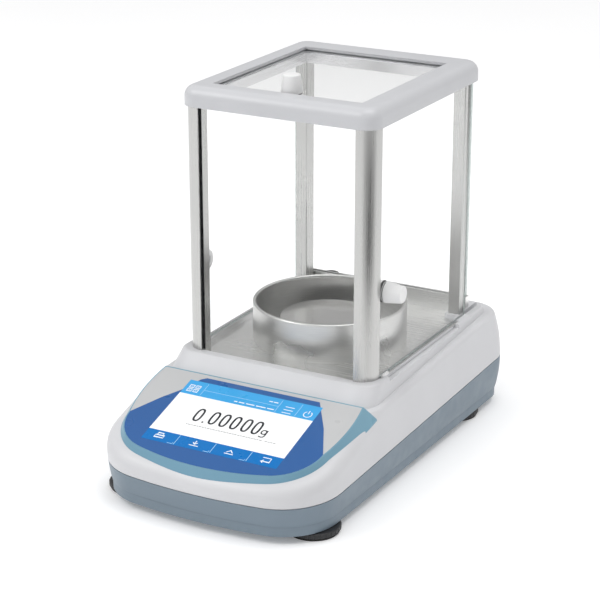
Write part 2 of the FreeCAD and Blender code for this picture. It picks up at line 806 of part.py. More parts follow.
def knob_set(prefix, at, axis, turn, outward, length):
    """A cone knob, its washer, the disc on the glass's inner face and the screw that holds them."""
    def along(distance):
        return [f"{start} + ({step}) * ({distance})" for start, step in zip(at, outward)]

    bore = f"{length} - 2.6"
    profile = (("knob_screw_radius + 0.03", "0"), ("knob_base_radius", "0"),
               ("knob_end_radius", f"{length} - 1"), ("knob_end_radius - 1", length),
               ("0", length), ("0", bore), ("knob_screw_radius + 0.03", bore))
    knob = put(turned_body(profile), along("pane + washer_thickness"), axis, turn)
    node(f"{prefix}_knob", knob)
    ring = round_bar(along("pane"), "knob_base_radius - 0.5", "washer_thickness", axis, turn)
    hole = round_bar(along("pane - 1"), "knob_screw_radius + 0.1", "washer_thickness + 2", axis, turn)
    node(f"{prefix}_knob_washer", cut(ring, hole))
    disc = round_bar(along("-disc_thickness"), "disc_radius", "disc_thickness", axis, turn)
    disc_hole = round_bar(along("-disc_thickness - 1"), "knob_screw_radius + 0.1",
                          "disc_thickness + 2", axis, turn)
    sink = round_bar(along("-disc_thickness - 1"), "4", "2.2", axis, turn)
    node(f"{prefix}_knob_disc", cut(disc, disc_hole, sink))
    head = round_bar(along("-disc_thickness + 0.1"), "3.8", "1.1", axis, turn)
    shank = round_bar(along("-disc_thickness + 0.1"), "knob_screw_radius",
                      f"disc_thickness + pane + washer_thickness + {length} - 3.1", axis, turn)
    slot = round_bar(along("-disc_thickness - 0.2"), "1.3", "1", axis, turn)
    node(f"{prefix}_knob_screw", cut(fuse(head, shank), slot))


def add_doors():
    """Doors that slide to the rear in their rails, the left with a low grip, and the frame's sliding lid."""
    for side, sign in SIDES:
        pane = box((from_middle(sign, "door_inner", "pane"), "door_front", "door_bottom"),
                   "pane", "door_length", "door_height")
        hole = round_bar((f"{sign} * (door_inner - 5)", "knob_y", "knob_height"),
                         "knob_screw_radius + 0.3", "20", Y_AXIS, 90 * sign)
        node(f"{side}_door_glass", cut(pane, hole))
        start = (f"{sign} * door_inner", "knob_y", "knob_height")
        length = "knob_length" if side == "right" else "grip_length"
        knob_set(f"{side}_door", start, Y_AXIS, 90 * sign, (sign, 0, 0), length)
    lid = box(("-lid_half_width", "lid_front", "lid_bottom"), "2 * lid_half_width", "lid_length", "pane")
    hole = round_bar(("0", "lid_knob_y", "lid_bottom - 5"), "knob_screw_radius + 0.3", "20")
    node("top_door_glass", cut(lid, hole))
    knob_set("top_door", ("0", "lid_knob_y", "lid_bottom"), Z_AXIS, 0, (0, 0, 1), "knob_length")


def add_pan_and_ring():
    """Weighing pan with its tapered stem, and the draft ring that stands round it."""
    centre = ("0", "pan_y")
    dish = round_bar((*centre, "pan_top - pan_sheet"), "pan_radius", "pan_sheet")
    rim = doc.addObject("Part::Torus", "rim")
    bind(rim, Radius1="pan_radius", Radius2="pan_sheet")
    put(rim, (*centre, "pan_top - pan_sheet"))
    hub = cone((*centre, "pan_top - pan_sheet - 7"), "7", "12", "7.2")
    neck = cone((*centre, "pan_top - pan_sheet - 21"), "pan_stem_radius", "7", "14")
    stem = round_bar((*centre, "66"), "pan_stem_radius", "14")
    node("weighing_pan", fuse(dish, rim, hub, neck, stem))
    wall = round_bar((*centre, "plate_top"), "ring_radius", "ring_height - ring_rim")
    inside = round_bar((*centre, "plate_top - 5"), "ring_radius - ring_wall", "ring_height + 10")
    bead = doc.addObject("Part::Torus", "bead")
    bind(bead, Radius1="ring_radius - ring_rim", Radius2="ring_rim")
    put(bead, (*centre, "plate_top + ring_height - ring_rim"))
    node("draft_ring", fuse(cut(wall, inside), bead))


# ---------------------------------------------------------------- inside the base


def add_chassis():
    """Cast plate on the lower housing with four pillars that carry the plinth."""
    plate = box(("-chassis_half_width", "chassis_front", "chassis_bottom"),
                "2 * chassis_half_width", "chassis_length", "chassis_thickness")
    opening = box(("26", "0", "chassis_bottom - 1"), "26", "90", "chassis_thickness + 2")
    pillars = []
    for x in ("-pillar_x", "pillar_x"):
        for y in ("pillar_front", "pillar_rear"):
            pillars.append(round_bar((x, y, "chassis_bottom + 1"), "pillar_radius",
                                     "roof_underside - chassis_bottom - 1"))
    node("chassis", fuse(cut(plate, opening), *pillars))


def add_weighing_cell():
    """Force-restoration cell: block with its flexure slots and fork, magnet pot, and the pan's socket."""
    floor = "chassis_bottom + chassis_thickness"
    block = box(("-cell_width / 2", "cell_front", f"{floor} + cell_gap"),
                "cell_width", "cell_length", "cell_height")
    foot_at = ("-cell_width / 2", "cell_front + cell_length - 40", floor)
    foot = box(foot_at, "cell_width", "40", "cell_gap + 1")
    slots = []
    for z in ("6", "cell_height - 7.2"):
        slots.append(box(("-cell_width / 2 - 1", "cell_front + 12", f"{floor} + cell_gap + {z}"),
                         "cell_width + 2", "cell_length - 52", "1.2"))
    slots.append(box(("-cell_width / 2 - 1", "cell_front + 30", f"{floor} + cell_gap + 13"),
                     "cell_width + 2", "34", "10"))
    web = box(("-cell_width / 2 - 3", "weight_y - 18", f"{floor} + 12"), "4", "36", "fork_top - 33")
    arms = []
    for y in ("weight_y - 18", "weight_y + 14"):
        arms.append(box(("-cell_width / 2 - 26", y, "fork_top - 4"), "27", "4", "4"))
    node("load_cell", fuse(cut(block, *slots), foot, web, *arms))
    pot = round_bar(("0", "cell_front + cell_length + magnet_radius + 1", floor), "magnet_radius",
                    "magnet_height")
    gap = round_bar(("0", "cell_front + cell_length + magnet_radius + 1", f"{floor} + 10"), "8", "30")
    core = round_bar(("0", "cell_front + cell_length + magnet_radius + 1", f"{floor} + 9"), "6", "14")
    node("magnet_pot", fuse(cut(pot, gap), core))
    socket_floor = f"{floor} + cell_gap + cell_height"
    post = round_bar(("0", "pan_y", socket_floor), "9", f"76 - ({socket_floor})")
    bore = round_bar(("0", "pan_y", "65.8"), "pan_stem_radius + 0.05", "20")
    node("pan_socket", cut(post, bore))


def add_calibration():
    """Built-in calibration: a motor's screw lowers a weight's lifter until the weight rests on the fork."""
    floor = "chassis_bottom + chassis_thickness"
    lifter_top = "fork_top + lifter_travel + 0.2"
    shaft = ("weight_x - 17", "weight_y")
    plate = box(("weight_x - 23", "weight_y - 10", f"{lifter_top} - 3"), "34", "20", "3")
    nut = round_bar((*shaft, f"{lifter_top} - 3"), "5", "9")
    nut_hole = round_bar((*shaft, f"{lifter_top} - 6"), "screw_radius + 0.05", "20")
    node("calibration_lifter", cut(fuse(plate, nut), nut_hole))
    weight = round_bar(("weight_x", "weight_y - 18", f"{lifter_top} + weight_radius"),
                       "weight_radius", "36", X_AXIS, -90)
    node("calibration_weight", weight)
    motor = round_bar((*shaft, floor), "7.5", "12")
    bore = round_bar((*shaft, f"{floor} + 6"), "screw_radius + 0.05", "8")
    node("calibration_motor", cut(motor, bore))
    spindle = round_bar((*shaft, f"{floor} + 6.2"), "screw_radius", "30")
    collar = round_bar((*shaft, f"{floor} + 12.2"), "4", "1.2")
    node("calibration_screw", fuse(spindle, collar))


def add_electronics():
    """Main board under the console and the rear panel with its three sockets."""
    board = box(("-main_board_width / 2", "main_board_front", "main_board_height"),
                "main_board_width", "main_board_length", "board_thickness")
    top = "main_board_height + board_thickness - 0.1"
    chips = [box((x, y, top), length, width, height) for x, y, length, width, height in (
        ("-46", "-118", "20", "20", "2.6"),
        ("-10", "-112", "16", "12", "3.2"),
        ("22", "-124", "26", "18", "9"),
        ("-44", "-90", "40", "6", "8"),
        ("14", "-86", "30", "8", "7"),
    )]
    capacitors = [round_bar((x, "-100", top), "4", "10") for x in ("14", "26", "38")]
    node("main_board", fuse(board, *chips, *capacitors))
    wall_rear = "base_half_depth - 2.2"
    panel = box(("-panel_width / 2 + 0.1", f"{wall_rear} - 2.4", "panel_bottom + 0.1"),
                "panel_width - 0.2", "2.4", "panel_height - 0.2")
    sockets = (("power_inlet", -36, 10, 11), ("serial_port", -4, 31, 12.5), ("usb_port", 32, 12.4, 11.8))
    holes = []
    for label, middle, width, height in sockets:
        holes.append(box((f"{middle - width / 2}", "base_half_depth - 20", "panel_bottom + 6"),
                         f"{width}", "40", f"{height}"))
    node("connector_panel", cut(panel, *holes))
    for label, middle, width, height in sockets:
        low = "panel_bottom + 6.1"
        body = box((f"{middle - width / 2 + 0.1}", f"{wall_rear} - 14", low),
                   f"{width - 0.2}", "14.5", f"{height - 0.2}")
        middle_height = f"panel_bottom + 6 + {height / 2}"
        if label == "serial_port":
            nose = box((f"{middle - 8.5}", f"{wall_rear} - 1", f"{middle_height} - 4"), "17", "2.8", "8")
            node(label, fuse(body, nose))
            continue
        if label == "power_inlet":
            mouth = round_bar((f"{middle}", f"{wall_rear} - 9", middle_height), "3.2", "12", X_AXIS, -90)
            pin = round_bar((f"{middle}", f"{wall_rear} - 9.5", middle_height), "1", "8", X_AXIS, -90)
        else:
            mouth_at = (f"{middle - 4.2}", f"{wall_rear} - 9", f"{middle_height} - 3.9")
            mouth = box(mouth_at, "8.4", "12", "7.8")
            pin = box((f"{middle - 2.8}", f"{wall_rear} - 9.5", f"{middle_height} - 1.6"), "5.6", "7", "3.2")
        node(label, fuse(cut(body, mouth), pin))


def add_bubble_level():
    """Round level on the rear deck: a cup and the glass vial in it."""
    at = ("-60", "156.5")
    cup = round_bar((*at, "deck_height"), "7.5", "6")
    well = round_bar((*at, "deck_height + 1.5"), "5.9", "10")
    node("bubble_level_cup", cut(cup, well))
    node("bubble_level_vial", round_bar((*at, "deck_height + 1.5"), "5.8", "4.8"))


# ---------------------------------------------------------------- feet and screws


def add_feet():
    """Levelling feet: a rubber pad under a ribbed wheel whose stud turns in the lower housing."""
    for place, y in (("front", "front_foot_y"), ("rear", "rear_foot_y")):
        for side, sign in SIDES:
            x = f"{sign} * foot_x"
            node(f"{place}_{side}_foot_pad", round_bar((x, y, "0"), "pad_radius", "pad_thickness"))
            profile = (("0", "0"), ("foot_radius - 0.8", "0"), ("foot_radius", "0.8"),
                       ("foot_radius", "wheel_thickness - 0.8"), ("foot_radius - 0.8", "wheel_thickness"),
                       ("stud_radius", "wheel_thickness"), ("stud_radius", "stud_length"),
                       ("0", "stud_length"))
            wheel = turned_body(profile)
            add_ribs(wheel)
            node(f"{place}_{side}_foot_wheel", put(wheel, (x, y, "pad_thickness")))


def add_ribs(body):
    """Scallops round a foot wheel's edge."""
    sketch = body.newObject("Sketcher::SketchObject", "scallop")
    sketch.AttachmentSupport = (plane_of(body, "XY_Plane"), [""])
    sketch.MapMode = "FlatFace"
    sketch.addGeometry(Part.Circle(Vector(22, 0, 0), Z_AXIS, 1), False)
    sketch.addConstraint(Sketcher.Constraint("PointOnObject", 0, 3, -1))
    reach = sketch.addConstraint(Sketcher.Constraint("DistanceX", -1, 1, 0, 3, 22))
    sketch.setExpression(f"Constraints[{reach}]", bound("foot_radius + 0.5"))
    sketch.addConstraint(Sketcher.Constraint("Radius", 0, 1.0))
    doc.recompute()
    pocket = body.newObject("PartDesign::Pocket", "scallop_cut")
    pocket.Profile = sketch
    pocket.Reversed = True
    bind(pocket, Length="wheel_thickness")
    ribs = body.newObject("PartDesign::PolarPattern", "ribs")
    ribs.Originals = [pocket]
    ribs.Axis = (plane_of(body, "Z_Axis"), [""])
    ribs.Angle = 360
    ribs.Occurrences = 30
    body.Tip = ribs


def add_screws():
    """Post screws under the plinth, and the screws that close the two housings."""
    post_screws = []
    for x, y in post_screw_places():
        for sign in (-1, 1):
            at = (f"{sign * x}", f"{y}")
            head = round_bar((*at, "roof_underside - 2.6"), "3.6", "2.6")
            shank = round_bar((*at, "roof_underside - 1"), "post_bore - 0.03", "22")
            post_screws.append(fuse(head, shank))
    node("post_screws", group(*post_screws))
    housing_screws = []
    for x, y in screw_boss_places():
        for sign in (-1, 1):
            at = (f"{sign * x}", f"{y}")
            head = round_bar((*at, "tray_bottom + 8.4"), "3.8", "2.6")
            shank = round_bar((*at, "tray_bottom + 10"), "1.95", "40")
            housing_screws.append(fuse(head, shank))
    node("housing_screws", group(*housing_screws))


# ---------------------------------------------------------------- build and export


def check_and_export():
    doc.recompute()
    for thing in doc.Objects:
        if "Invalid" in thing.State or "Error" in thing.State:
            raise RuntimeError(f"{thing.Name} ({thing.Label}) failed: {thing.State}")
    for label, thing in nodes.items():
        if thing.Shape.isNull() or not thing.Shape.isValid():
            raise RuntimeError(f"{label} has no valid shape")
        print(label, "solids", len(thing.Shape.Solids), "volume", round(thing.Shape.Volume))
    os.makedirs("parts", exist_ok=True)
    for label, thing in nodes.items():
        thing.Shape.exportStep(f"parts/{label}.step")
    print(len(nodes), "nodes")


base_outside = base_body()
add_base_shells(base_outside)
add_console(base_outside)
add_floor()
add_rails_and_clips()
add_posts()
add_shield()
add_doors()
add_pan_and_ring()
add_chassis()
add_weighing_cell()
add_calibration()
add_electronics()
add_bubble_level()
add_feet()
add_screws()
check_and_export()
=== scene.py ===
import math

import bmesh
import bpy
from mathutils import Matrix, Vector


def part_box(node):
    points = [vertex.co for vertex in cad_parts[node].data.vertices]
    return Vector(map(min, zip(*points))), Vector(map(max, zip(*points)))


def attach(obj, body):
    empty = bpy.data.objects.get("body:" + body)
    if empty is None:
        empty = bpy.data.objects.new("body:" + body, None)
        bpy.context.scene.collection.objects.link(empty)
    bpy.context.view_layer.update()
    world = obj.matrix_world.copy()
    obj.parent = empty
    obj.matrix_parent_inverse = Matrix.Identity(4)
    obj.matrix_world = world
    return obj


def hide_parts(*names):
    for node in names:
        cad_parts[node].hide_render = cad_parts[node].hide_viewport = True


# Analytical balance: finishes for the CAD pieces, and Blender pieces where the CAD solid is too plain.
# Metres, +Z up, front faces -Y. Lengths written in millimetres are turned into metres by MM.

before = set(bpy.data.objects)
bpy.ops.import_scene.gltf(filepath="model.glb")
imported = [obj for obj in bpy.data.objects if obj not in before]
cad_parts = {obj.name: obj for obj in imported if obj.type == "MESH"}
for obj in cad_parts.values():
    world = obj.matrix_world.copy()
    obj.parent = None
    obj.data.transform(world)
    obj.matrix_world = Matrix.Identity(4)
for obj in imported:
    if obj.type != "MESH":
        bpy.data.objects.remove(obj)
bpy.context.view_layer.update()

MM = 0.001
SIDES = (("left", -1), ("right", 1))
SHARP_ANGLE = math.radians(35)
LONG_KNOB, LOW_GRIP = 14.6, 6.0

# the console's plane: its upper edge, its tilt, and the panel's thickness above it
CONSOLE_EDGE = Vector((0, -70, 76.2)) * MM
CONSOLE_TILT = math.radians(16.2)
PANEL_TOP = 4.1
LAYER = 0.05
GREY_LAYER, BLUE_LAYER, FIELD_LAYER, MARK_LAYER = 1, 2, 3, 4
CONSOLE = Matrix.Translation(CONSOLE_EDGE) @ Matrix.Rotation(CONSOLE_TILT, 4, "X")


# ---------------------------------------------------------------- finishes


class Finish:
    """One node material round a Principled shader; textures use object coordinates in metres."""

    def __init__(self, name, colour, roughness, metallic=0.0, **constants):
        self.material = bpy.data.materials.new(name)
        self.material.use_nodes = True
        self.nodes = self.material.node_tree.nodes
        self.links = self.material.node_tree.links
        self.shader = self.nodes["Principled BSDF"]
        self.normal = None
        self.set("Base Color", (*colour, 1))
        self.set("Roughness", roughness)
        self.set("Metallic", metallic)
        for constant, value in constants.items():
            self.set(constant.replace("_", " ").title().replace("Ior", "IOR"), value)

    def feed(self, socket, value):
        if isinstance(value, bpy.types.NodeSocket):
            self.links.new(value, socket)
        else:
            socket.default_value = value

    def set(self, socket, value):
        self.feed(self.shader.inputs[socket], value)

    def node(self, kind, inputs=None, **settings):
        made = self.nodes.new("ShaderNode" + kind)
        for name, value in settings.items():
            setattr(made, name, value)
        for socket, value in (inputs or {}).items():
            self.feed(made.inputs[socket], value)
        return made

    def place(self, stretch=(1, 1, 1), centre=(0, 0, 0)):
        """Object coordinates about a centre, stretched along an axis by a scale below one."""
        coordinates = self.node("TexCoord").outputs["Object"]
        shifted = self.node("VectorMath", {0: coordinates, 1: centre}, operation="SUBTRACT").outputs[0]
        return self.node("VectorMath", {0: shifted, 1: stretch}, operation="MULTIPLY").outputs[0]

    def noise(self, per_metre, stretch=(1, 1, 1), detail=2.0):
        inputs = {"Vector": self.place(stretch), "Scale": per_metre, "Detail": detail}
        return self.node("TexNoise", inputs).outputs[0]

    def level(self, value, low, high, start=0.3, end=0.7):
        inputs = {"Value": value, "From Min": start, "From Max": end, "To Min": low, "To Max": high}
        return self.node("MapRange", inputs).outputs[0]

    def tint(self, value, first, second):
        blend = self.node("Mix", {0: value}, data_type="RGBA")
        self.feed(blend.inputs[6], first if isinstance(first, bpy.types.NodeSocket) else (*first, 1))
        self.feed(blend.inputs[7], (*second, 1))
        return blend.outputs[2]

    def math(self, operation, first, second=0.0):
        return self.node("Math", {0: first, 1: second}, operation=operation).outputs[0]

    def bump(self, height, distance, strength=1.0):
        inputs = {"Height": height, "Distance": distance, "Strength": strength}
        if self.normal:
            inputs["Normal"] = self.normal
        self.normal = self.node("Bump", inputs).outputs[0]
        self.set("Normal", self.normal)

    def soften(self, radius):
        """Rounds sharp edges in the shading, and returns a mask that is one along them."""
        bevel = self.node("Bevel", {"Radius": radius}, samples=4).outputs[0]
        self.normal = bevel
        self.set("Normal", bevel)
        flat = self.node("NewGeometry").outputs["Normal"]
        likeness = self.node("VectorMath", {0: bevel, 1: flat}, operation="DOT_PRODUCT").outputs["Value"]
        return self.level(likeness, 1.0, 0.0, 0.86, 0.995)

    def rings(self, centre, per_metre):
        """Noise that changes only with the distance from a vertical axis."""
        flat = self.place((1, 1, 0), centre)
        distance = self.node("VectorMath", {0: flat}, operation="LENGTH").outputs["Value"]
        return self.node("TexNoise", {"W": distance, "Scale": per_metre, "Detail": 3.0},
                         noise_dimensions="1D").outputs[0]


def moulded(name, colour, roughness, texture=0.00002, per_metre=1500, edge=0.0005):
    """Moulded plastic: fine surface texture, cloudy gloss, and edges lightened a little by a painted
    highlight.
    """
    finish = Finish(name, colour, roughness)
    # mask along sharp edges, used to paint a highlight into the colour
    painted_edge_highlight = finish.soften(edge)
    cloud = finish.noise(18, detail=3.0)
    dull = tuple(0.955 * part for part in colour)
    bright = tuple(min(1.0, 1.06 * part + 0.004) for part in colour)
    body = finish.tint(finish.level(cloud, 0, 1), dull, colour)
    # painted highlight: the base colour turns lighter along the edges
    finish.set("Base Color", finish.tint(finish.math("MULTIPLY", painted_edge_highlight, 0.6), body, bright))
    spread = finish.level(finish.noise(60, detail=4.0), roughness - 0.05, roughness + 0.06)
    finish.set("Roughness", spread)
    finish.bump(finish.noise(per_metre, detail=3.0), texture, 0.6)
    finish.bump(finish.noise(35), 0.00006, 0.25)
    return finish.material


def powder_coat(name, colour):
    """Painted metal with the fine orange peel of a powder coat, and a painted highlight along its edges."""
    finish = Finish(name, colour, 0.42, coat_weight=0.12, coat_roughness=0.3)
    painted_edge_highlight = finish.soften(0.0006)
    dark = tuple(0.93 * part for part in colour)
    pale = tuple(min(1.0, 1.25 * part) for part in colour)
    body = finish.tint(finish.level(finish.noise(14, detail=4.0), 0, 1), dark, colour)
    # painted highlight: the base colour turns paler along the edges
    finish.set("Base Color", finish.tint(finish.math("MULTIPLY", painted_edge_highlight, 0.5), body, pale))
    finish.set("Roughness", finish.level(finish.noise(90), 0.36, 0.5))
    finish.bump(finish.noise(700, detail=2.0), 0.00005, 0.5)
    return finish.material


def drawn_metal(name, colour, roughness, stretch, anisotropic=0.0, lines=1400, depth=0.000006):
    """Metal with long fine lines, as from brushing or from an extrusion's die."""
    finish = Finish(name, colour, roughness, 1.0, anisotropic=anisotropic)
    finish.soften(0.0003)
    line = finish.noise(lines, stretch, 4.0)
    smear = finish.noise(9, detail=4.0)
    dark = tuple(0.94 * part for part in colour)
    finish.set("Base Color", finish.tint(finish.level(line, 0, 1), dark, colour))
    dull = finish.level(smear, roughness - 0.04, roughness + 0.07)
    finish.set("Roughness", finish.math("ADD", dull, finish.level(line, -0.03, 0.03)))
    finish.bump(line, depth, 0.5)
    return finish.material


def turned_metal(name, colour, roughness, centre, per_metre, anisotropic):
    """Metal with fine concentric lines round a vertical axis."""
    finish = Finish(name, colour, roughness, 1.0, anisotropic=anisotropic)
    tangent = finish.node("Tangent", direction_type="RADIAL", axis="Z").outputs[0]
    finish.set("Tangent", tangent)
    line = finish.rings(centre, per_metre)
    dark = tuple(0.9 * part for part in colour)
    finish.set("Base Color", finish.tint(finish.level(line, 0, 1), dark, colour))
    smear = finish.level(finish.noise(25, detail=4.0), roughness - 0.04, roughness + 0.06)
    finish.set("Roughness", smear)
    finish.bump(line, 0.000004, 0.4)
    return finish.material


def brushed_wall(name, colour, roughness, centre):
    """Sheet metal bent to a ring: brushed lines run round it."""
    finish = Finish(name, colour, roughness, 1.0, anisotropic=0.55)
    finish.set("Tangent", finish.node("Tangent", direction_type="RADIAL", axis="Z").outputs[0])
    line = finish.noise(2600, (0.03, 0.03, 1), 4.0)
    cloud = finish.noise(16, detail=4.0)
    dark = tuple(0.86 * part for part in colour)
    finish.set("Base Color", finish.tint(finish.level(line, 0, 1), dark, colour))
    finish.set("Roughness", finish.level(cloud, roughness - 0.05, roughness + 0.07))
    finish.bump(line, 0.000006, 0.5)
    return finish.material


def rubber(name, colour, roughness=0.75):
    finish = Finish(name, colour, roughness, specular_ior_level=0.35)
    dust = finish.level(finish.noise(220, detail=5.0), 0, 0.35, 0.5, 0.75)
    finish.set("Base Color", finish.tint(dust, colour, (0.16, 0.16, 0.16)))
    finish.set("Roughness", finish.level(finish.noise(400), roughness - 0.08, roughness + 0.1))
    finish.bump(finish.noise(1800, detail=3.0), 0.00004, 0.5)
    return finish.material


def clear_glass(name):
    """A clear pane that lets light through without a shadow."""
    finish = Finish(name, (0.997, 0.999, 0.998), 0.0, transmission_weight=1.0, ior=1.16)
    finish.set("Roughness", finish.level(finish.noise(30, detail=4.0), 0.0, 0.02, 0.45, 0.8))
    through = finish.node("BsdfTransparent", {"Color": (0.99, 0.995, 0.993, 1)}).outputs[0]
    shadow = finish.node("LightPath").outputs["Is Shadow Ray"]
    blend = finish.node("MixShader", {0: shadow, 1: finish.shader.outputs[0], 2: through})
    output = finish.nodes["Material Output"].inputs["Surface"]
    finish.links.new(blend.outputs[0], output)
    return finish.material


def ground_glass(name):
    """The cut and ground edge of a pane: grey-green and satin."""
    finish = Finish(name, (0.56, 0.64, 0.62), 0.4, transmission_weight=0.35)
    streak = finish.noise(900, (1, 1, 0.05), 3.0)
    grind = finish.level(streak, 0, 1)
    finish.set("Base Color", finish.tint(grind, (0.42, 0.50, 0.48), (0.66, 0.73, 0.71)))
    finish.bump(streak, 0.00002, 0.5)
    return finish.material


def printed(name, colour, far):
    """Ink under the console's satin lacquer; the colour drifts from the front to the upper edge."""
    roughness = 0.3
    finish = Finish(name, colour, roughness, coat_weight=0.08, coat_roughness=0.2, specular_ior_level=0.3)
    along = finish.node("VectorMath", {0: finish.place(), 1: (0, 1, 0)}, operation="DOT_PRODUCT")
    drift = finish.level(along.outputs["Value"], 0, 1, -0.175, -0.075)
    speckle = finish.level(finish.noise(2500, detail=2.0), -0.03, 0.03)
    finish.set("Base Color", finish.tint(finish.math("ADD", drift, speckle), colour, far))
    finish.set("Roughness", finish.level(finish.noise(45, detail=4.0), roughness - 0.04, roughness + 0.08))
    finish.bump(finish.noise(120, detail=2.0), 0.00001, 0.3)
    return finish.material


def lit(name, colour, strength):
    """A lit area of the screen: a faint grid of picture cells over a flat colour."""
    finish = Finish(name, colour, 0.3, coat_weight=0.05, coat_roughness=0.2, specular_ior_level=0.2)
    dim = tuple(0.93 * part for part in colour)
    cells = finish.node("TexBrick", {"Vector": finish.place(), "Scale": 4000.0, "Mortar Size": 0.12,
                                     "Color1": (*colour, 1), "Color2": (*colour, 1),
                                     "Mortar": (*dim, 1), "Brick Width": 0.5, "Row Height": 0.5},
                        offset=0.0)
    finish.set("Base Color", cells.outputs[0])
    finish.set("Emission Color", (*colour, 1))
    finish.set("Emission Strength", strength)
    finish.set("Roughness", finish.level(finish.noise(50, detail=4.0), 0.25, 0.35))
    return finish.material


def solder_mask(name):
    finish = Finish(name, (0.02, 0.16, 0.07), 0.35)
    tracks = finish.level(finish.noise(320, (1, 0.12, 1), 1.0), 0, 1, 0.49, 0.52)
    finish.set("Base Color", finish.tint(tracks, (0.015, 0.12, 0.05), (0.04, 0.24, 0.10)))
    finish.bump(tracks, 0.00003, 0.4)
    return finish.material


def cast_metal(name):
    finish = Finish(name, (0.46, 0.47, 0.48), 0.5, 1.0)
    pores = finish.noise(1100, detail=6.0)
    finish.set("Base Color", finish.tint(finish.level(pores, 0, 1), (0.34, 0.35, 0.36), (0.52, 0.53, 0.54)))
    finish.set("Roughness", finish.level(finish.noise(70, detail=4.0), 0.42, 0.62))
    finish.bump(pores, 0.0001, 0.5)
    return finish.material


def floor_finish():
    finish = Finish("pale_floor", (0.93, 0.93, 0.935), 0.65, specular_ior_level=0.2)
    finish.set("Base Color", finish.tint(finish.level(finish.noise(3), 0, 1), (0.925, 0.925, 0.93),
                                         (0.94, 0.94, 0.945)))
    finish.set("Emission Color", (1, 1, 1, 1))
    finish.set("Emission Strength", 0.15)
    return finish.material


PAN_CENTRE = (0, 39.8 * MM, 0)
CHAMBER_MIDDLE = Vector((0, 0, 120)) * MM
cover = moulded("cover_plastic", (0.615, 0.617, 0.635), 0.40)
top_white = moulded("frame_plastic", (0.54, 0.545, 0.565), 0.33, texture=0.000008)
knob_white = moulded("knob_plastic", (0.80, 0.80, 0.80), 0.34, texture=0.000008, edge=0.0003)
coat = powder_coat("tray_powder_coat", (0.168, 0.220, 0.268))
black = moulded("black_plastic", (0.018, 0.018, 0.02), 0.42, per_metre=2200)
dark_screen = moulded("screen_module_plastic", (0.03, 0.03, 0.035), 0.3)
anodised = drawn_metal("anodised_aluminium", (0.54, 0.54, 0.53), 0.26, (1, 1, 0.01), depth=0.000001)
rail_metal = drawn_metal("rail_aluminium", (0.78, 0.78, 0.79), 0.25, (1, 0.01, 1))
plate_metal = drawn_metal("brushed_plate", (0.88, 0.88, 0.87), 0.24, (0.01, 1, 1), lines=1900)
ring_metal = brushed_wall("brushed_ring", (0.62, 0.62, 0.61), 0.30, PAN_CENTRE)
pan_metal = turned_metal("turned_pan", (0.80, 0.79, 0.78), 0.16, PAN_CENTRE, 900, 0.3)
milled = drawn_metal("milled_aluminium", (0.70, 0.70, 0.71), 0.32, (0.02, 1, 1), lines=900)
zinc = drawn_metal("zinc_plate", (0.58, 0.58, 0.60), 0.3, (1, 1, 0.3), lines=2000)
nickel = drawn_metal("nickel_plate", (0.66, 0.64, 0.60), 0.22, (1, 0.1, 1), lines=1500)
brass = drawn_metal("turned_brass", (0.72, 0.50, 0.20), 0.22, (0.02, 1, 1), lines=1500)
magnet_metal = drawn_metal("magnet_nickel", (0.42, 0.42, 0.43), 0.3, (1, 1, 0.05))
casting = cast_metal("cast_aluminium")
board_green = solder_mask("solder_mask")
seal_rubber = rubber("seal_rubber", (0.02, 0.02, 0.022))
foot_rubber = rubber("foot_rubber", (0.015, 0.015, 0.015), 0.8)
glass = clear_glass("clear_glass")
glass_edge = ground_glass("glass_edge")
teal = printed("console_teal", (0.150, 0.300, 0.40), (0.185, 0.345, 0.44))
panel_grey = printed("console_grey", (0.465, 0.475, 0.49), (0.50, 0.505, 0.51))
field_blue = printed("console_blue", (0.026, 0.115, 0.335), (0.02, 0.10, 0.31))
sky = lit("screen_sky", (0.045, 0.345, 0.70), 0.12)
page = lit("screen_page", (0.84, 0.845, 0.85), 0.20)
azure = lit("screen_azure", (0.0, 0.155, 0.48), 0.08)
white_mark = lit("screen_white_mark", (0.78, 0.83, 0.88), 0.12)
pale_mark = lit("screen_pale_mark", (0.40, 0.66, 0.86), 0.12)
digit_ink = lit("screen_digit", (0.02, 0.022, 0.028), 0.0)
caption_ink = lit("screen_caption", (0.42, 0.42, 0.43), 0.05)

NODE_FINISHES = (
    (cover, "upper_housing"),
    (top_white, "top_frame"),
    (knob_white, "rail_clips"),
    (coat, "lower_housing"),
    (teal, "console_overlay"),
    (dark_screen, "lcd_module"),
    (board_green, "display_board main_board"),
    (plate_metal, "chamber_floor_plate rear_sill"),
    (ring_metal, "draft_ring"),
    (pan_metal, "weighing_pan"),
    (anodised, "front_left_post front_right_post"),
    (rail_metal, "left_door_rail right_door_rail"),
    (zinc, "left_door_knob_screw right_door_knob_screw top_door_knob_screw post_screws housing_screws"),
    (zinc, "calibration_screw"),
    (casting, "chassis"),
    (milled, "load_cell pan_socket calibration_lifter"),
    (magnet_metal, "magnet_pot"),
    (brass, "calibration_weight"),
    (black, "connector_panel power_inlet calibration_motor bubble_level_cup"),
    (nickel, "serial_port usb_port"),
)


def paint_cad_nodes():
    painted = [(finish, name) for finish, names in NODE_FINISHES for name in names.split()]
    for place in ("front_left", "front_right", "rear_left", "rear_right"):
        painted.append((black, f"{place}_foot_wheel"))
        painted.append((foot_rubber, f"{place}_foot_pad"))
    for finish, name in painted:
        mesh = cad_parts[name].data
        mesh.materials.clear()
        mesh.materials.append(finish)


# ---------------------------------------------------------------- mesh helpers


def finish_piece(name, mesh, body, finishes, replaced=(), placement=None):
    """Wraps a mesh, in metres, as a named piece that rides on a body."""
    piece = bpy.data.objects.new(name, mesh)
    bpy.context.scene.collection.objects.link(piece)
    for finish in finishes:
        mesh.materials.append(finish)
    for polygon in mesh.polygons:
        polygon.use_smooth = True
    mesh.set_sharp_from_angle(angle=SHARP_ANGLE)
    if placement:
        piece.matrix_world = placement
    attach(piece, body)
    if replaced:
        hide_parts(*replaced)
    return piece


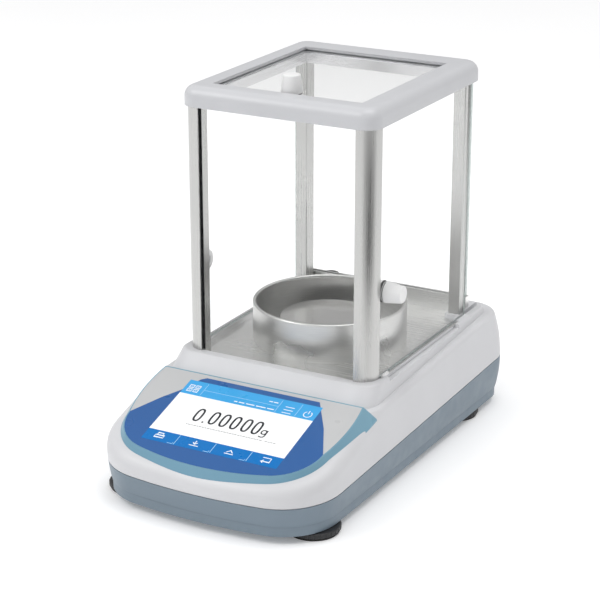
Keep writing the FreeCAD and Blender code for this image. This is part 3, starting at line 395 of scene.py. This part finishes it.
def bevel(piece, width, segments=2):
    rounding = piece.modifiers.new("edges", "BEVEL")
    rounding.width = width
    rounding.segments = segments
    rounding.limit_method = "ANGLE"
    rounding.angle_limit = math.radians(40)


def arc(start, through, end, steps):
    """Points on the circle through three points, from start to end."""
    (ax, ay), (bx, by), (cx, cy) = start, through, end
    span = 2 * (ax * (by - cy) + bx * (cy - ay) + cx * (ay - by))
    square = [x * x + y * y for x, y in (start, through, end)]
    x0 = (square[0] * (by - cy) + square[1] * (cy - ay) + square[2] * (ay - by)) / span
    y0 = (square[0] * (cx - bx) + square[1] * (ax - cx) + square[2] * (bx - ax)) / span
    radius = math.hypot(ax - x0, ay - y0)
    first = math.atan2(ay - y0, ax - x0)
    turn = math.atan2(cy - y0, cx - x0) - first
    middle = math.atan2(by - y0, bx - x0) - first
    if (middle % math.tau) > (turn % math.tau):
        turn = -((-turn) % math.tau)
    else:
        turn = turn % math.tau
    angles = [first + turn * step / steps for step in range(steps + 1)]
    return [(x0 + radius * math.cos(a), y0 + radius * math.sin(a)) for a in angles]


def lathe_mesh(name, profile, steps=96):
    """Turns a line of (radius, height) points, in millimetres, about Z."""
    shape = bmesh.new()
    points = [shape.verts.new((radius * MM, 0, height * MM)) for radius, height in profile]
    edges = [shape.edges.new(pair) for pair in zip(points, points[1:])]
    bmesh.ops.spin(shape, geom=points + edges, cent=(0, 0, 0), axis=(0, 0, 1),
                   angle=math.tau, steps=steps, use_duplicate=False)
    bmesh.ops.remove_doubles(shape, verts=shape.verts, dist=1e-6)
    bmesh.ops.recalc_face_normals(shape, faces=shape.faces)
    mesh = bpy.data.meshes.new(name)
    shape.to_mesh(mesh)
    shape.free()
    return mesh


def prisms_mesh(name, outlines, low, high, edge_finish=0):
    """Extrudes closed outlines of (x, y) points between two heights, all in millimetres."""
    shape = bmesh.new()
    for outline in outlines:
        bottom = [shape.verts.new((x * MM, y * MM, low * MM)) for x, y in outline]
        top = [shape.verts.new((x * MM, y * MM, high * MM)) for x, y in outline]
        shape.faces.new(bottom)
        shape.faces.new(top)
        for place in range(len(outline)):
            after = (place + 1) % len(outline)
            wall = shape.faces.new((bottom[place], bottom[after], top[after], top[place]))
            wall.material_index = edge_finish
    bmesh.ops.recalc_face_normals(shape, faces=shape.faces)
    mesh = bpy.data.meshes.new(name)
    shape.to_mesh(mesh)
    shape.free()
    return mesh


def rounded(left, low, right, high, radius, steps=3):
    """A rectangle's outline with round corners."""
    centres = ((right - radius, high - radius), (left + radius, high - radius),
               (left + radius, low + radius), (right - radius, low + radius))
    points = []
    for quarter, (x, y) in enumerate(centres):
        for step in range(steps + 1):
            angle = (quarter + step / steps) * math.pi / 2
            points.append((x + radius * math.cos(angle), y + radius * math.sin(angle)))
    return points


def ribbons_mesh(name, lines, width, height):
    """Flat strokes of one width along lines of (u, v) points; a line that ends at its start is closed."""
    shape = bmesh.new()
    for line in lines:
        closed = math.dist(line[0], line[-1]) < 1e-6
        points = line[:-1] if closed else line
        count = len(points)
        rails = []
        for place, (x, y) in enumerate(points):
            before = points[place - 1] if closed or place else points[0]
            after = points[(place + 1) % count] if closed or place < count - 1 else points[-1]
            way = Vector((after[0] - before[0], after[1] - before[1])).normalized()
            inward = Vector((x - before[0], y - before[1]))
            lean = inward.normalized().dot(way) if inward.length > 1e-9 else 1.0
            reach = width / 2 / max(0.5, lean)
            rails.append([shape.verts.new(((x - side * way.y * reach) * MM,
                                           (y + side * way.x * reach) * MM, height * MM))
                          for side in (1, -1)])
        pairs = list(zip(rails, rails[1:] + rails[:1])) if closed else list(zip(rails, rails[1:]))
        for (left_a, right_a), (left_b, right_b) in pairs:
            shape.faces.new((right_a, right_b, left_b, left_a))
    mesh = bpy.data.meshes.new(name)
    shape.to_mesh(mesh)
    shape.free()
    return mesh


def patches_mesh(name, outlines, height):
    """Flat patches with the given outlines at one height, in millimetres."""
    shape = bmesh.new()
    for outline in outlines:
        shape.faces.new([shape.verts.new((x * MM, y * MM, height * MM)) for x, y in outline])
    shape.normal_update()
    for face in shape.faces:
        if face.normal.z < 0:
            face.normal_flip()
    mesh = bpy.data.meshes.new(name)
    shape.to_mesh(mesh)
    shape.free()
    return mesh


# ---------------------------------------------------------------- glass and knobs


def add_pane(node, body, thin_axis):
    """A glass pane with slightly round corners, ground edges and a fine arris."""
    low, high = (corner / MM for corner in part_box(node))
    if thin_axis == "X":
        outline = rounded(low.y, low.z, high.y, high.z, 1.2)
        placement = Matrix(((0, 0, 1, 0), (1, 0, 0, 0), (0, 1, 0, 0), (0, 0, 0, 1)))
        span = (low.x, high.x)
    elif thin_axis == "Y":
        outline = rounded(low.x, low.z, high.x, high.z, 1.2)
        placement = Matrix(((1, 0, 0, 0), (0, 0, -1, 0), (0, 1, 0, 0), (0, 0, 0, 1)))
        span = (-high.y, -low.y)
    else:
        outline = rounded(low.x, low.y, high.x, high.y, 1.2)
        placement = Matrix.Identity(4)
        span = (low.z, high.z)
    mesh = prisms_mesh(node + "_pane", [outline], *span, edge_finish=1)
    piece = finish_piece(node + "_pane", mesh, body, (glass, glass_edge), (node,), placement)
    bevel(piece, 0.35 * MM, 1)


def knob_profile(length):
    """Half section of a cone knob: rounded base edge, straight taper, rounded end."""
    base = [(8.75 - 0.7 * (1 - math.sin(a)), 0.7 * (1 - math.cos(a)))
            for a in [step * math.pi / 12 for step in range(7)]]
    end = [(5.9 + 1.1 * math.cos(a), length - 1.1 + 1.1 * math.sin(a))
           for a in [step * math.pi / 12 for step in range(7)]]
    return [(2.2, 0.0)] + base + end + [(3.0, length - 0.12), (0.0, length - 0.12)]


def add_knob(door, outward, length):
    """A door's knob with its rings outside the glass, and the disc inside it."""
    turn = Vector((0, 0, 1)).rotation_difference(Vector(outward)).to_matrix().to_4x4()
    body = f"{door}_door"
    low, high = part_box(f"{door}_door_knob_disc")
    half_disc, pane, washer = 1.3, 3.2, 1.2
    inner_face = (low + high) / 2 + Vector(outward) * half_disc * MM

    def at(distance):
        return Matrix.Translation(inner_face + Vector(outward) * distance * MM) @ turn

    finish_piece(f"{door}_knob", lathe_mesh("knob", knob_profile(length)), body, (knob_white,),
                 (f"{door}_door_knob",), at(pane + washer))
    collar = [(2.3, 0), (8.2, 0), (8.4, 0.15), (8.2, 0.5), (2.3, 0.5)]
    finish_piece(f"{door}_knob_collar", lathe_mesh("collar", collar), body, (knob_white,),
                 placement=at(pane))
    seal = [(2.3, 0.5), (7.9, 0.5), (8.15, 0.7), (8.15, 1.0), (7.9, 1.2), (2.3, 1.2)]
    finish_piece(f"{door}_knob_seal", lathe_mesh("seal", seal), body, (seal_rubber,),
                 (f"{door}_door_knob_washer",), at(pane))
    disc = [(2.2, 0), (8.9, 0), (9.0, 0.3), (9.0, 1.7), (8.6, 2.3), (7.9, 2.6), (4.4, 2.6),
            (4.0, 2.3), (4.0, 1.4), (2.2, 1.4), (2.2, 0)]
    inward = at(0) @ Matrix.Rotation(math.pi, 4, "X")
    finish_piece(f"{door}_knob_inner_disc", lathe_mesh("disc", disc), body, (knob_white,),
                 (f"{door}_door_knob_disc",), inward)


def add_doors_and_glass():
    add_pane("front_glass", "base", "Y")
    add_pane("rear_glass", "base", "Y")
    add_pane("top_door_glass", "top_door", "Z")
    for side, sign in SIDES:
        add_pane(f"{side}_door_glass", f"{side}_door", "X")
        add_knob(side, (sign, 0, 0), LONG_KNOB if side == "right" else LOW_GRIP)
    add_knob("top", (0, 0, 1), LONG_KNOB)


# ---------------------------------------------------------------- frame details


def add_rear_posts():
    """Rear posts: rectangular tubes with eased corners and a shallow groove down the outer face."""
    for side, sign in SIDES:
        node = f"rear_{side}_post"
        low, high = (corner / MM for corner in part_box(node))
        outer, inner = (high.x, low.x) if sign > 0 else (low.x, high.x)
        middle = (low.y + high.y) / 2
        groove = outer - sign * 0.8
        outline = [(inner, low.y), (outer, low.y), (outer, middle - 1.2), (groove, middle - 0.6),
                   (groove, middle + 0.6), (outer, middle + 1.2), (outer, high.y), (inner, high.y)]
        mesh = prisms_mesh(node, [outline], low.z, high.z)
        bevel(finish_piece(node + "_tube", mesh, "base", (anodised,), (node,)), 0.5 * MM)


def add_front_seals():
    """Thin rubber lips on both faces of the front glass, where it enters the posts."""
    outlines = []
    for sign in (-1, 1):
        for y0, y1 in ((-50.25, -49.65), (-46.35, -45.75)):
            inner, outer = sign * 69.3, sign * 73.6
            outlines.append([(inner, y0), (outer, y0), (outer, y1), (inner, y1)])
    mesh = prisms_mesh("front_seal_lips", outlines, 89.2, 292.8)
    finish_piece("front_seal_lips", mesh, "base", (seal_rubber,), ("front_glass_seals",))


def add_window_liner():
    """Grey metal liner round the opening of the top frame, under the lid."""
    low, high = 293.3, 302.3
    half, front, rear, wall = 65.9, -33.9, 118.9, 1.3
    bars = {
        "front": (-half, front, half, front + wall),
        "rear": (-half, rear - wall, half, rear),
        "left": (-half, front + wall, -half + wall, rear - wall),
        "right": (half - wall, front + wall, half, rear - wall),
    }
    for place, (x0, y0, x1, y1) in bars.items():
        outline = [(x0, y0), (x1, y0), (x1, y1), (x0, y1)]
        mesh = prisms_mesh("liner", [outline], low, high)
        bevel(finish_piece(f"window_liner_{place}", mesh, "base", (rail_metal,)), 0.25 * MM)


def add_bubble_level():
    """Glass vial with its liquid, air bubble and centring circle."""
    low, high = (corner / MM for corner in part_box("bubble_level_vial"))
    x, y = (low.x + high.x) / 2, (low.y + high.y) / 2
    radius, height = 5.7, high.z - low.z
    place = Matrix.Translation(Vector((x, y, low.z)) * MM)
    dome = [(0, 0), (radius, 0), (radius, height - 1.2)]
    dome += [(radius * math.cos(a), height - 1.2 + 1.1 * math.sin(a))
             for a in [step * math.pi / 16 for step in range(1, 9)]]
    vial = Finish("level_liquid", (0.42, 0.72, 0.16), 0.05, transmission_weight=0.6, ior=1.36)
    mottle = vial.level(vial.noise(300), 0, 1)
    vial.set("Base Color", vial.tint(mottle, (0.36, 0.66, 0.12), (0.5, 0.78, 0.2)))
    finish_piece("level_vial", lathe_mesh("vial", dome), "base", (vial.material,),
                 ("bubble_level_vial",), place)
    bubble = [(1.5 * math.sin(a), height - 0.5 * (1 - math.cos(a)))
              for a in [step * math.pi / 12 for step in range(7)]]
    finish_piece("level_bubble", lathe_mesh("bubble", bubble, 48), "base", (knob_white,), (), place)
    circle = [(2.4, height - 0.13), (2.65, height - 0.16), (2.65, height + 0.02), (2.4, height + 0.05),
              (2.4, height - 0.13)]
    finish_piece("level_circle", lathe_mesh("circle", circle, 64), "base", (black,), (), place)


def add_socket_contacts():
    """Nine pins and two hexagonal nuts on the serial port."""
    rear = 181.9
    middle_x, middle_z = -4, 28.25
    upright = Matrix.Rotation(-math.pi / 2, 4, "X")

    def facing_rear(x, y, z):
        return Matrix.Translation(Vector((x, y, z)) * MM) @ upright

    pin = [(0, 0), (0.5, 0), (0.5, 1.6), (0.3, 1.9), (0, 1.9)]
    for row, count in ((1.4, 5), (-1.4, 4)):
        for place in range(count):
            x = middle_x + (place - (count - 1) / 2) * 2.77
            finish_piece(f"serial_pin_{count}_{place}", lathe_mesh("pin", pin, 16), "base",
                         (nickel,), (), facing_rear(x, rear, middle_z + row))
    nut = [(1.5, 0), (2.6, 0), (2.6, 1.7), (2.3, 2.0), (1.5, 2.0)]
    for sign in (-1, 1):
        finish_piece(f"serial_nut_{'left' if sign < 0 else 'right'}", lathe_mesh("nut", nut, 6), "base",
                     (nickel,), (), facing_rear(middle_x + sign * 12.5, rear - 1.5, middle_z))


# ---------------------------------------------------------------- console prints and screen


def panel_outline(inset):
    """The console panel's top face, drawn in by an inset: right corner, round the front, left corner."""
    def drawn(x, y, side=1):
        return (x - side * inset, y + inset * 0.35)

    corner, side, shoulder = drawn(90.5, -4.5), drawn(92.5, -30), drawn(87.5, -65)
    turn, foot = drawn(78.5, -87.5), drawn(56, -101)
    right = arc(corner, side, shoulder, 10)[:-1] + arc(shoulder, turn, foot, 10)[:-1]
    lower = arc(foot, (0, -108.5 + inset), (-foot[0], foot[1]), 24)
    left = [(-x, y) for x, y in reversed(right)]
    return right + lower + left


def print_patch(name, outlines, layer, finish):
    mesh = patches_mesh(name, outlines, PANEL_TOP + layer * LAYER)
    finish_piece(name, mesh, "base", (finish,), placement=CONSOLE)


def print_lines(name, lines, width, layer, finish):
    mesh = ribbons_mesh(name, lines, width, PANEL_TOP + layer * LAYER)
    finish_piece(name, mesh, "base", (finish,), placement=CONSOLE)


def down(line):
    """Points given as distances down the slope from the panel's upper edge."""
    return [(x, 1.2 - y) for x, y in line]


def oval(x, y, width, height, steps=40, power=2.7):
    """A tall rounded oval through the middle of a digit's stroke."""
    points = []
    for step in range(steps + 1):
        angle = math.tau * step / steps
        c, s = math.cos(angle), math.sin(angle)
        points.append((x + width / 2 * math.copysign(abs(c) ** (2 / power), c),
                       y + height / 2 * math.copysign(abs(s) ** (2 / power), s)))
    points[-1] = points[0]
    return points


def add_console_prints():
    whole = panel_outline(0.9)
    print_patch("console_print_grey", [whole], GREY_LAYER, panel_grey)
    front = [point for point in panel_outline(0.9) if point[1] < -62]
    upper_left = down([(-71.9, 42.7), (-61, 28.7), (-52.4, 11.9), (-48.3, 8.9)])
    upper_right = down([(54.5, 9), (72.6, 37.5)])
    print_patch("console_print_blue", [upper_right + front + upper_left], BLUE_LAYER, field_blue)


def add_screen():
    """Lit screen: header with icons, the reading on a white page, and a footer with four soft keys."""
    left, right = -60.3, 60.3
    fields = (("header", 14.6, 32, sky), ("page", 32, 79.5, page), ("footer", 79.5, 92.3, azure))
    for name, top, bottom, finish in fields:
        corners = down([(left, top), (right, top), (right, bottom), (left, bottom)])
        print_patch(f"screen_{name}", [corners], FIELD_LAYER, finish)
    add_reading()
    add_header_marks()
    add_footer_marks()


def add_reading():
    """The reading 0.00000 and its unit, g."""
    middle, height, width = 53.1, 14.2, 5.4
    zeros = [oval(x, middle, width, height) for x in (-30, -16, -6.4, 3.3, 13.2, 22.6)]
    print_lines("reading_zeros", [down(line) for line in zeros], 1.75, MARK_LAYER, digit_ink)
    dot = rounded(-23.8, 59.4, -22.2, 61.2, 0.5)
    print_patch("reading_point", [down(dot)], MARK_LAYER, digit_ink)
    bowl = oval(30.3, 56.4, 4.2, 4.6, 24, 2.2)
    stem = [(32.6, 53.7), (32.6, 60.4), (32.0, 61.8), (30.6, 62.3), (29.0, 62.2), (28.0, 61.6)]
    print_lines("reading_unit", [down(bowl), down(stem)], 1.15, MARK_LAYER, digit_ink)
    dashes = []
    x = -34.7
    place = 0
    while x < 44:
        length = 1.4 + 1.1 * math.sin(place * 1.7) ** 2
        if not 31 < x < 34:
            dashes.append([(x, 65.9), (x + length, 65.9)])
        x += length + 0.5
        place += 1
    print_lines("reading_caption", [down(dash) for dash in dashes], 0.9, MARK_LAYER, caption_ink)


def add_header_marks():
    dividers = [[(x, 16), (x, 30.8)] for x in (-42.5, 25.6, 43.4)] + [[(-42, 23.9), (25.4, 23.9)]]
    print_lines("header_dividers", [down(line) for line in dividers], 0.35, MARK_LAYER, pale_mark)
    tiles = []
    for x in (-54.6, -48.9):
        for y in (21.9, 26.6):
            tiles.append([(x - 1.9, y - 1.6), (x + 1.9, y - 1.6), (x + 1.9, y + 1.6), (x - 1.9, y + 1.6),
                          (x - 1.9, y - 1.6)])
            tiles.append([(x - 0.5, y), (x + 0.5, y)])
    menu = [[(31.3, y), (39.3, y)] for y in (22.4, 26.0, 29.6)]
    turn = [math.radians(-58 + 296 * step / 20) for step in range(21)]
    power = [[(52.6 + 3.4 * math.cos(a), 25.9 + 3.4 * math.sin(a)) for a in turn],
             [(52.6, 21.4), (52.6, 25.4)]]
    print_lines("header_icons", [down(line) for line in tiles + menu + power], 0.75, MARK_LAYER, white_mark)
    words = ((-12, 3), (-7.6, 5), (-1, 7.5), (8, 8.6), (18, 6))
    bars = [[(x, 28.8), (x + length, 28.8)] for x, length in words]
    bars += [[(15.5, 20.2), (18.6, 20.2)], [(19.6, 20.2), (23.4, 20.2)]]
    print_lines("header_bars", [down(line) for line in bars], 1.1, MARK_LAYER, white_mark)


def add_footer_marks():
    """Soft keys: a sheet leaving a slot, an arrow onto a line, a caret, and a return arrow."""
    dividers = [[(x, 80.4), (x, 91.5)] for x in (-31, 1.5, 33.4)]
    corners = [[(x - 6, 91.3), (x - 1.4, 91.3), (x - 1.4, 89.6)] for x in (-31, 1.5, 33.4)]
    print_lines("footer_dividers", [down(line) for line in dividers + corners], 0.45, MARK_LAYER, pale_mark)
    y = 85.6
    sheet = [[(-51, y - 0.6), (-51, y + 2.0), (-43, y + 2.0), (-43, y - 0.6), (-51, y - 0.6)],
             [(-49.4, y - 0.8), (-49.4, y - 3.2), (-44.6, y - 3.2), (-44.6, y - 0.8)]]
    zero = [[(-15, y - 3.4), (-15, y + 0.6)], [(-17, y - 1.2), (-15, y + 0.8), (-13, y - 1.2)],
            [(-19, y + 2.4), (-11, y + 2.4)]]
    caret = [[(13.8, y + 1.2), (16.5, y - 1.6), (19.2, y + 1.2)], [(12.6, y + 2.6), (20.4, y + 2.6)]]
    back = [[(44.4, y - 2.4), (51.6, y - 2.4), (51.6, y + 2.0), (44.6, y + 2.0)],
            [(46.4, y + 0.4), (44.6, y + 2.0), (46.4, y + 3.6)]]
    icons = [down(line) for line in sheet + zero + caret + back]
    print_lines("footer_icons", icons, 0.8, MARK_LAYER, white_mark)


# ---------------------------------------------------------------- stage, light and camera


def add_floor():
    shape = bmesh.new()
    reach = 9.0
    corners = [shape.verts.new((x * reach, y * reach, 0)) for x, y in ((-1, -1), (1, -1), (1, 1), (-1, 1))]
    shape.faces.new(corners)
    mesh = bpy.data.meshes.new("floor")
    shape.to_mesh(mesh)
    shape.free()
    mesh.materials.append(floor_finish())
    floor = bpy.data.objects.new("floor", mesh)
    bpy.context.scene.collection.objects.link(floor)


def add_dark_card():
    """A dark card low to the right that only mirror-like surfaces see; it shapes the posts' reflections."""
    shape = bmesh.new()
    half, top = 0.36, 0.17
    corners = ((-half, 0, 0), (half, 0, 0), (half, 0, top), (-half, 0, top))
    shape.faces.new([shape.verts.new(corner) for corner in corners])
    mesh = bpy.data.meshes.new("dark_card")
    shape.to_mesh(mesh)
    shape.free()
    finish = Finish("dark_card", (0, 0, 0), 1.0, specular_ior_level=0.0)
    across = finish.node("SeparateXYZ", {0: finish.place()}).outputs[0]
    fade = finish.level(finish.math("ABSOLUTE", across), 0.05, 0.8, 0.05, half)
    finish.set("Emission Color", (1, 1, 1, 1))
    finish.set("Emission Strength", fade)
    mesh.materials.append(finish.material)
    card = bpy.data.objects.new("dark_card", mesh)
    bpy.context.scene.collection.objects.link(card)
    away = math.radians(-31)
    card.location = (0.08 + 0.45 * math.cos(away), -0.045 + 0.45 * math.sin(away), 0)
    card.rotation_euler = (0, 0, away + math.pi / 2)
    for ray in ("camera", "diffuse", "shadow", "transmission"):
        setattr(card, f"visible_{ray}", False)


def add_world():
    """Pale surroundings: bright above, with two dim upright zones that the metal parts reflect."""
    world = bpy.data.worlds.new("studio")
    bpy.context.scene.world = world
    world.use_nodes = True
    nodes, links = world.node_tree.nodes, world.node_tree.links
    background = nodes["Background"]
    direction = nodes.new("ShaderNodeTexCoord").outputs["Generated"]
    split = nodes.new("ShaderNodeSeparateXYZ")
    links.new(direction, split.inputs[0])
    azimuth = nodes.new("ShaderNodeMath")
    azimuth.operation = "ARCTAN2"
    links.new(split.outputs[1], azimuth.inputs[0])
    links.new(split.outputs[0], azimuth.inputs[1])
    turn = nodes.new("ShaderNodeMapRange")
    turn.inputs["From Min"].default_value = -math.pi
    turn.inputs["From Max"].default_value = math.pi
    links.new(azimuth.outputs[0], turn.inputs["Value"])
    ramp = nodes.new("ShaderNodeValToRGB")
    ramp.color_ramp.interpolation = "EASE"
    stops = ((0.0, 0.85), (0.12, 0.95), (0.30, 1.0), (0.42, 0.45), (0.47, 0.25), (0.52, 0.55), (0.60, 1.0),
             (0.72, 0.9), (0.80, 0.35), (0.86, 0.5), (0.93, 0.85))
    elements = ramp.color_ramp.elements
    elements[0].position = stops[0][0]
    elements[0].color = (stops[0][1],) * 3 + (1,)
    elements[1].position = stops[-1][0]
    elements[1].color = (stops[-1][1],) * 3 + (1,)
    for position, value in stops[1:-1]:
        elements.new(position).color = (value, value, value, 1)
    links.new(turn.outputs[0], ramp.inputs[0])
    height = nodes.new("ShaderNodeMapRange")
    height.inputs["From Min"].default_value = 0.25
    height.inputs["From Max"].default_value = 0.7
    links.new(split.outputs[2], height.inputs["Value"])
    blend = nodes.new("ShaderNodeMix")
    blend.data_type = "RGBA"
    links.new(height.outputs[0], blend.inputs[0])
    links.new(ramp.outputs[0], blend.inputs[6])
    blend.inputs[7].default_value = (1.0, 1.0, 1.0, 1)
    links.new(blend.outputs[2], background.inputs["Color"])
    background.inputs["Strength"].default_value = 0.78


def add_light(name, position, size, power):
    light = bpy.data.lights.new(name, "AREA")
    light.shape = "RECTANGLE"
    light.size, light.size_y = size
    light.energy = power
    lamp = bpy.data.objects.new(name, light)
    bpy.context.scene.collection.objects.link(lamp)
    lamp.location = position
    lamp.rotation_euler = (CHAMBER_MIDDLE - Vector(position)).to_track_quat("-Z", "Y").to_euler()


def add_camera():
    camera = bpy.data.cameras.new("camera")
    camera.lens = 114.83
    camera.sensor_width = 36
    viewer = bpy.data.objects.new("camera", camera)
    bpy.context.scene.collection.objects.link(viewer)
    viewer.location = Vector((702.8, -1292.6, 660.7)) * MM
    target = Vector((-0.4, -10.8, 131.8)) * MM
    viewer.rotation_euler = (target - viewer.location).to_track_quat("-Z", "Y").to_euler()
    bpy.context.scene.camera = viewer


paint_cad_nodes()
add_doors_and_glass()
add_rear_posts()
add_front_seals()
add_window_liner()
add_bubble_level()
add_socket_contacts()
add_console_prints()
add_screen()
add_floor()
add_dark_card()
add_world()
add_light("key", (-1.3, -1.2, 1.9), (1.4, 1.0), 16)
add_light("top", (0.55, 0.1, 2.3), (1.5, 1.5), 19)
add_camera()
bpy.context.scene.view_settings.view_transform = "Standard"
